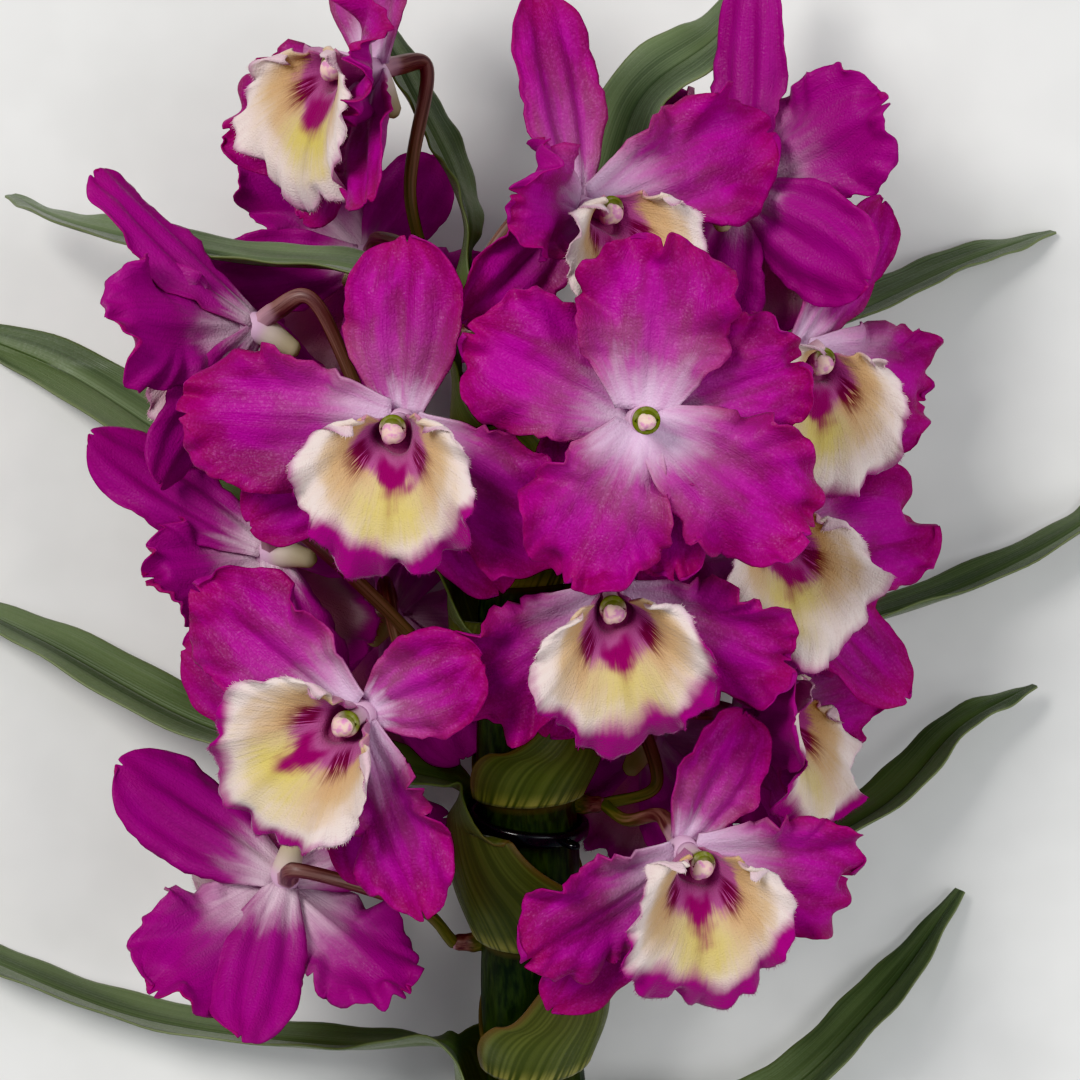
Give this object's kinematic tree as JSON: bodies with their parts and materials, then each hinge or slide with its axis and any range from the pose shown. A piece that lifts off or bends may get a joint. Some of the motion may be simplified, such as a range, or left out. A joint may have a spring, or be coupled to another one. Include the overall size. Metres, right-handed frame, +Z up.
{
  "type": "dendrobium orchid",
  "caption": "Flowering orchid cane as cut, lying on a surface: magenta sepals and petals round cream lips with dark throats, slim stalks, clasping strap leaves and a black plant clip.",
  "frame": {"origin": "on the surface the plant lies on, under the middle of its bounding box", "axes": "+Z up from the surface, +Y along the cane towards its tip, +X across the cane to the right of it as seen from above"},
  "size_m": [0.2588, 0.2856, 0.1139],
  "materials": {
    "petal": "satin, finely granular sepals and petals, deep magenta fading to white at their roots",
    "lip": "velvety cream with a yellow throat and dark magenta blotches",
    "leaf": "matt to satin dark green, finely veined",
    "cane": "satin dark green, lengthwise grooved",
    "stalk": "satin, olive to maroon brown",
    "clip": "glossy moulded black"
  },
  "bodies": {
    "root": {"cane": "cane", "clip": "clip", "leaf_01": "leaf", "leaf_02": "leaf", "leaf_03": "leaf", "leaf_04": "leaf", "leaf_05": "leaf", "leaf_06": "leaf", "leaf_07": "leaf", "leaf_08": "leaf", "leaf_09": "leaf", "leaf_10": "leaf", "stalk_01": "stalk", "stalk_02": "stalk", "stalk_03": "stalk", "stalk_04": "stalk", "stalk_05": "stalk", "stalk_06": "stalk", "stalk_07": "stalk", "stalk_08": "stalk", "flower_01": "petal", "flower_02": "petal", "flower_03": "petal", "flower_04": "petal", "flower_05": "petal", "flower_06": "petal", "flower_07": "petal", "flower_08": "petal", "flower_09": "petal", "flower_10": "petal", "flower_11": "petal", "flower_12": "petal", "flower_13": "petal", "flower_14": "petal", "flower_15": "petal", "flower_16": "petal", "flower_17": "petal", "lip_01": "lip", "lip_02": "lip", "lip_04": "lip", "lip_05": "lip", "lip_06": "lip", "lip_07": "lip", "lip_08": "lip", "lip_09": "lip", "lip_10": "lip", "lip_11": "lip", "lip_12": "lip", "lip_13": "lip", "lip_14": "lip", "lip_15": "lip", "lip_16": "lip", "lip_17": "lip"}
  },
  "joints": []
}
